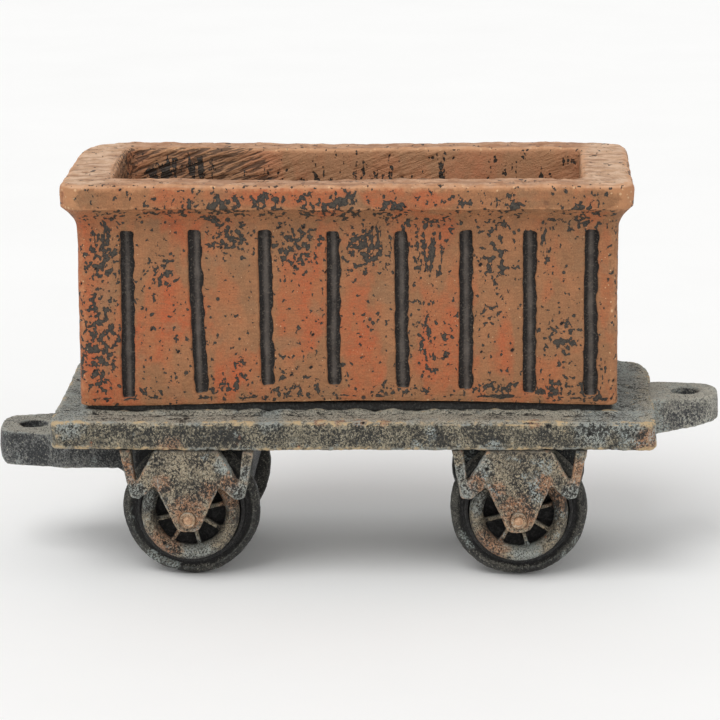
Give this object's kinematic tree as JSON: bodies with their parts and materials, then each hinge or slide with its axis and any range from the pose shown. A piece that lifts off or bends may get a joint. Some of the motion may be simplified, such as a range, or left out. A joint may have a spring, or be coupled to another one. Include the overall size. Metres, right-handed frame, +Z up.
{
  "type": "mine cart",
  "caption": "Small cast mine cart: open slotted tub with a flared rim on a slab deck, flanged spoked wheels on axles in W-shaped pedestals, and a pin coupling tongue at each end.",
  "frame": {"origin": "on the ground, in the middle of the outline box", "axes": "+Z up, +X towards the high coupling tongue, -Y is the front side"},
  "size_m": [0.18, 0.0626, 0.0999],
  "materials": {
    "tub": "matt, hand painted terracotta over charcoal",
    "seat": "matt black",
    "frame": "matt charcoal, dry brushed",
    "wheel": "matt charcoal, dry brushed",
    "bush": "dull, painted over",
    "steel": "dull"
  },
  "bodies": {
    "chassis": {"tub_body": "tub", "tub_seat": "seat", "deck": "frame", "coupling_tongue_high": "frame", "coupling_tongue_low": "frame", "bolster_left": "frame", "bolster_right": "frame", "pedestal_front_left": "frame", "pedestal_front_right": "frame", "pedestal_rear_left": "frame", "pedestal_rear_right": "frame", "bush_front_left": "bush", "bush_front_right": "bush", "bush_rear_left": "bush", "bush_rear_right": "bush", "tub_screws": "steel", "frame_screws": "steel", "heel_screws": "steel"},
    "wheelset_left": {"axle_left": "steel", "wheel_disc_front_left": "wheel", "wheel_spider_front_left": "wheel", "wheel_disc_rear_left": "wheel", "wheel_spider_rear_left": "wheel"},
    "wheelset_right": {"axle_right": "steel", "wheel_disc_front_right": "wheel", "wheel_spider_front_right": "wheel", "wheel_disc_rear_right": "wheel", "wheel_spider_rear_right": "wheel"}
  },
  "joints": [
    {"name": "roll_left", "type": "hinge", "parent": "chassis", "child": "wheelset_left", "pos_m": [-0.04035, 0, 0.0172], "axis": [0, 1, 0], "continuous": true},
    {"name": "roll_right", "type": "hinge", "parent": "chassis", "child": "wheelset_right", "pos_m": [0.04035, 0, 0.0172], "axis": [0, 1, 0], "continuous": true}
  ]
}
